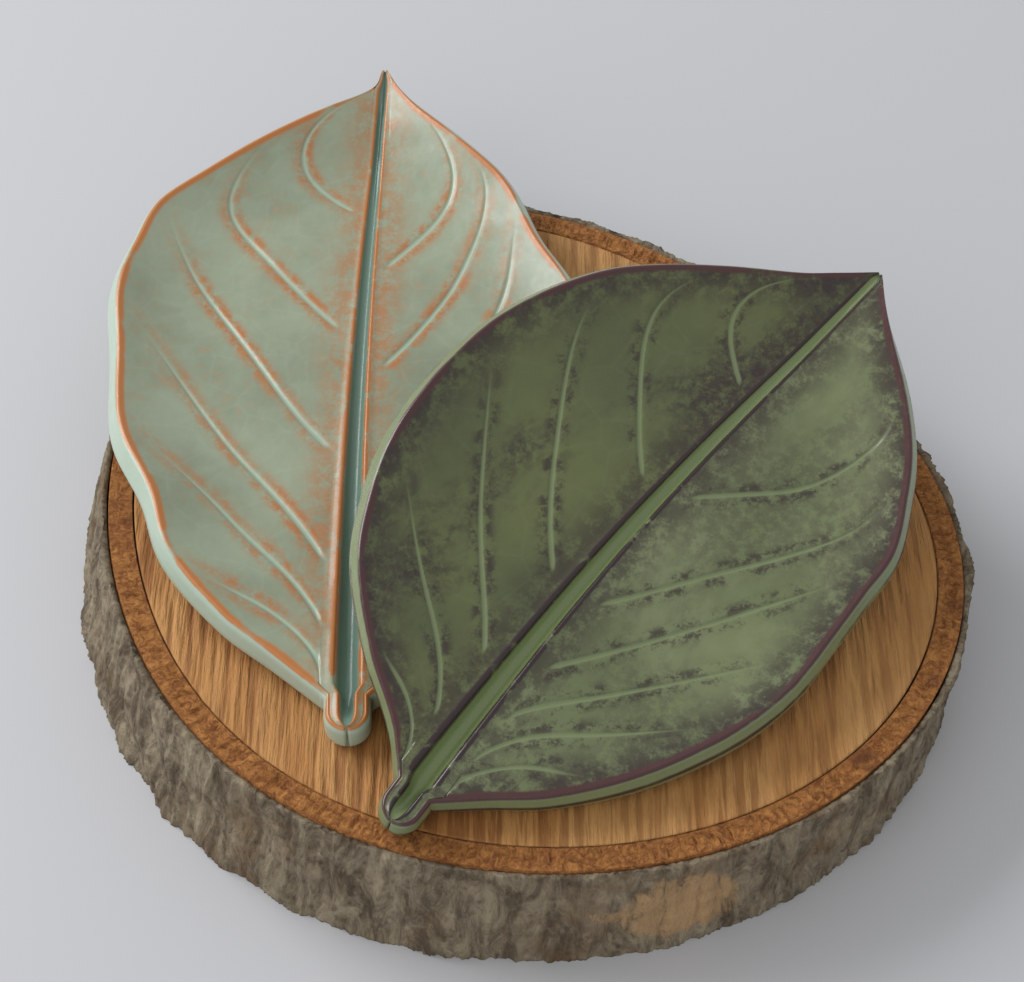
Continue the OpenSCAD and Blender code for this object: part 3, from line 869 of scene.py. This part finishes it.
def rough_bark():
    t = Tree("outer_bark")
    place = t.object_place()
    upright = t.noise(t.stretch(place, (1.0, 1.0, 0.35)), scale=260, detail=6, rough=0.75, distortion=0.6)
    pits = t.voronoi(place, 420)
    cloud = t.noise(place, scale=55, detail=5, rough=0.65)
    colour = t.blend(t.span(upright, 0.35, 0.65), BARK_DARK, BARK_LIGHT)
    colour = t.blend(t.span(cloud, 0.5, 0.7, 0, 0.7), colour, BARK_CLOUD)
    colour = t.blend(t.span(pits, 0.0, 0.35, 0.5, 0.0), colour, BARK_PIT)
    x, y, z = CORK_PLACE
    patch = t.distance(t.stretch(place, (CORK_STRETCH, 1.0, 1.0)), (CORK_STRETCH * x, y, z))
    ragged = t.times(t.noise(place, scale=120, detail=5, rough=0.7), CORK_RAGGED)
    cork = t.span(t.math("ADD", patch, ragged), CORK_INSIDE, CORK_OUTSIDE, 1.0, 0.0)
    colour = t.blend(t.times(cork, t.span(upright, 0.38, 0.5, 0.25, 1.0)), colour, CORK)
    height = t.math("ADD", upright, t.times(pits, 0.4))
    t.set(Base_Color=colour, Roughness=0.9, Normal=t.bump(height, distance=0.0018, strength=0.9))
    return t.material


def dress(piece, material, body, node):
    """Give a piece its material, and let it ride on a body in place of a CAD node."""
    piece.data.materials.append(material)
    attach(piece, body)
    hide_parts(node)


rear_leaf = leaf_mesh("rear_leaf_glazed", REAR, place_rear, seed=3)
dress(rear_leaf, celadon_glaze(), "rear_dish", "rear_leaf_dish")
front_leaf = leaf_mesh("front_leaf_glazed", FRONT, place_front, seed=4)
dress(front_leaf, olive_glaze(), "front_dish", "front_leaf_dish")
dress(outer_bark_mesh(), rough_bark(), "slice", "outer_bark")
dress(inner_bark_mesh(), fibrous_bark(), "slice", "inner_bark")
dress(wood_core_mesh(), sawn_wood(), "slice", "wood_core")

# Stage, in metres: a pale, slightly glossy table, and soft light from the left, behind and in front
FLOOR_HALF = 20.0
LIT_POINT = (0, 0, 0.02)
WORLD_COLOUR = (0.93, 0.94, 0.95, 1)
WORLD_STRENGTH = 0.55


def floor():
    h = FLOOR_HALF / MM
    corners = np.array([(-h, -h, 0), (h, -h, 0), (h, h, 0), (-h, h, 0)])
    made = add_mesh("table", corners, [(0, 1, 2, 3)])
    t = Tree("table_top")
    t.set(Base_Color=TABLE, Roughness=0.4)
    made.data.materials.append(t.material)


def area_light(name, place, size, power, colour):
    data = bpy.data.lights.new(name, "AREA")
    data.shape = "RECTANGLE"
    data.size, data.size_y = size
    data.energy = power
    data.color = colour
    lamp = bpy.data.objects.new(name, data)
    lamp.location = place
    lamp.rotation_euler = (Vector(LIT_POINT) - Vector(place)).to_track_quat("-Z", "Y").to_euler()
    bpy.context.scene.collection.objects.link(lamp)


floor()
area_light("window", (-0.9, 0.55, 0.75), size=(0.9, 0.7), power=12, colour=(0.99, 0.99, 1.0))
area_light("fill", (-0.5, -0.9, 0.8), size=(1.2, 0.8), power=3, colour=(1.0, 0.98, 0.95))
world = bpy.data.worlds.new("room")
bpy.context.scene.world = world
world.use_nodes = True
background = world.node_tree.nodes["Background"]
background.inputs["Color"].default_value = WORLD_COLOUR
background.inputs["Strength"].default_value = WORLD_STRENGTH

# Camera: 50 degrees above the table, from the front, in metres, with lens and film in millimetres
CAMERA_ELEVATION = 50
CAMERA_PLACE = (-0.001, -0.25496, 0.32838)
CAMERA_LENS = 84.375
CAMERA_FILM = 36

camera_data = bpy.data.cameras.new("camera")
camera_data.lens = CAMERA_LENS
camera_data.sensor_width = CAMERA_FILM
camera = bpy.data.objects.new("camera", camera_data)
camera.location = CAMERA_PLACE
camera.rotation_euler = (math.radians(90 - CAMERA_ELEVATION), 0, 0)
bpy.context.scene.collection.objects.link(camera)
bpy.context.scene.camera = camera
bpy.context.scene.view_settings.view_transform = "Standard"

bpy.context.view_layer.update()
